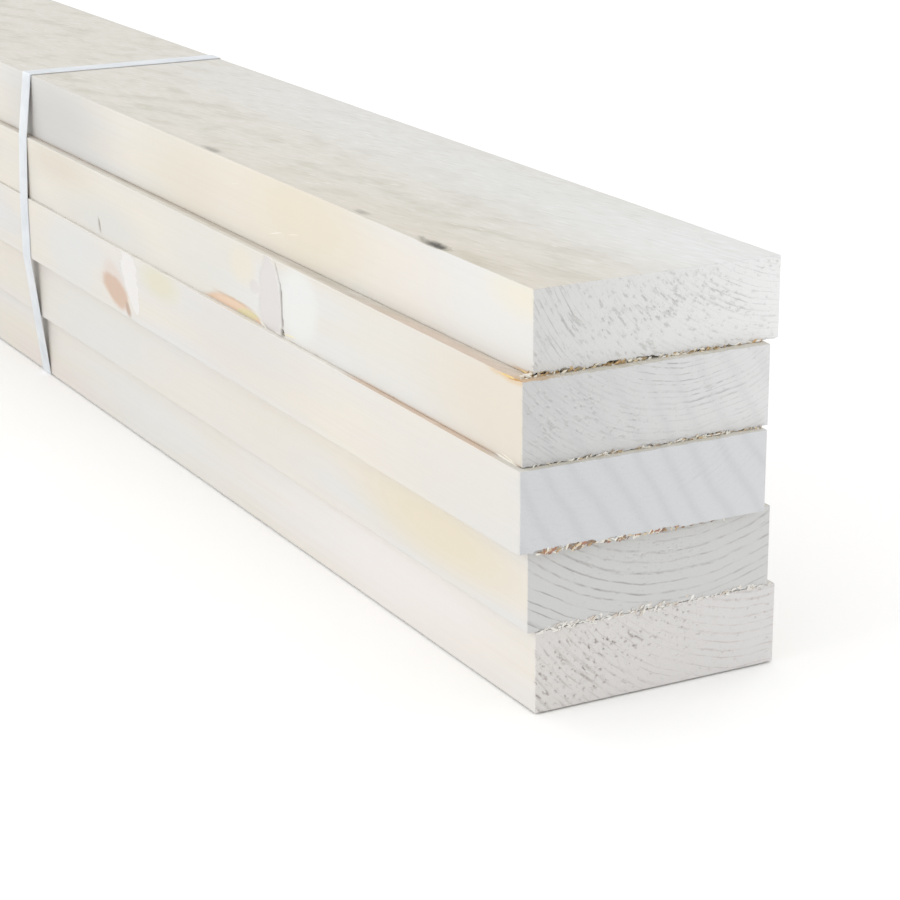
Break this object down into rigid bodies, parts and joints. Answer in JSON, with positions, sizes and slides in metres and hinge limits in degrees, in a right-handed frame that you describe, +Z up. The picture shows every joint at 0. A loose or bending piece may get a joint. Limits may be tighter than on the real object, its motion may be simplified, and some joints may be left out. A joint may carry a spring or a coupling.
{
  "type": "stack of lumber",
  "caption": "Stack of planed softwood boards lying flat on one another, strapped into one bundle with plastic straps.",
  "frame": {"origin": "under the middle of the stack, on the level surface that the straps' undersides rest on", "axes": "+X along the boards, towards the near end whose end grain shows, -Y towards the long side that shows, +Z up"},
  "size_m": [2.4106, 0.1584, 0.2218],
  "materials": {
    "spruce": "planed edges, rough-sawn faces, cross-cut ends",
    "strap": "embossed white polypropylene strapping"
  },
  "bodies": {
    "root": {"board_1_bottom": "spruce", "board_2": "spruce", "board_3": "spruce", "board_4": "spruce", "board_5_top": "spruce", "strap_near": "strap", "strap_far": "strap"}
  },
  "joints": []
}
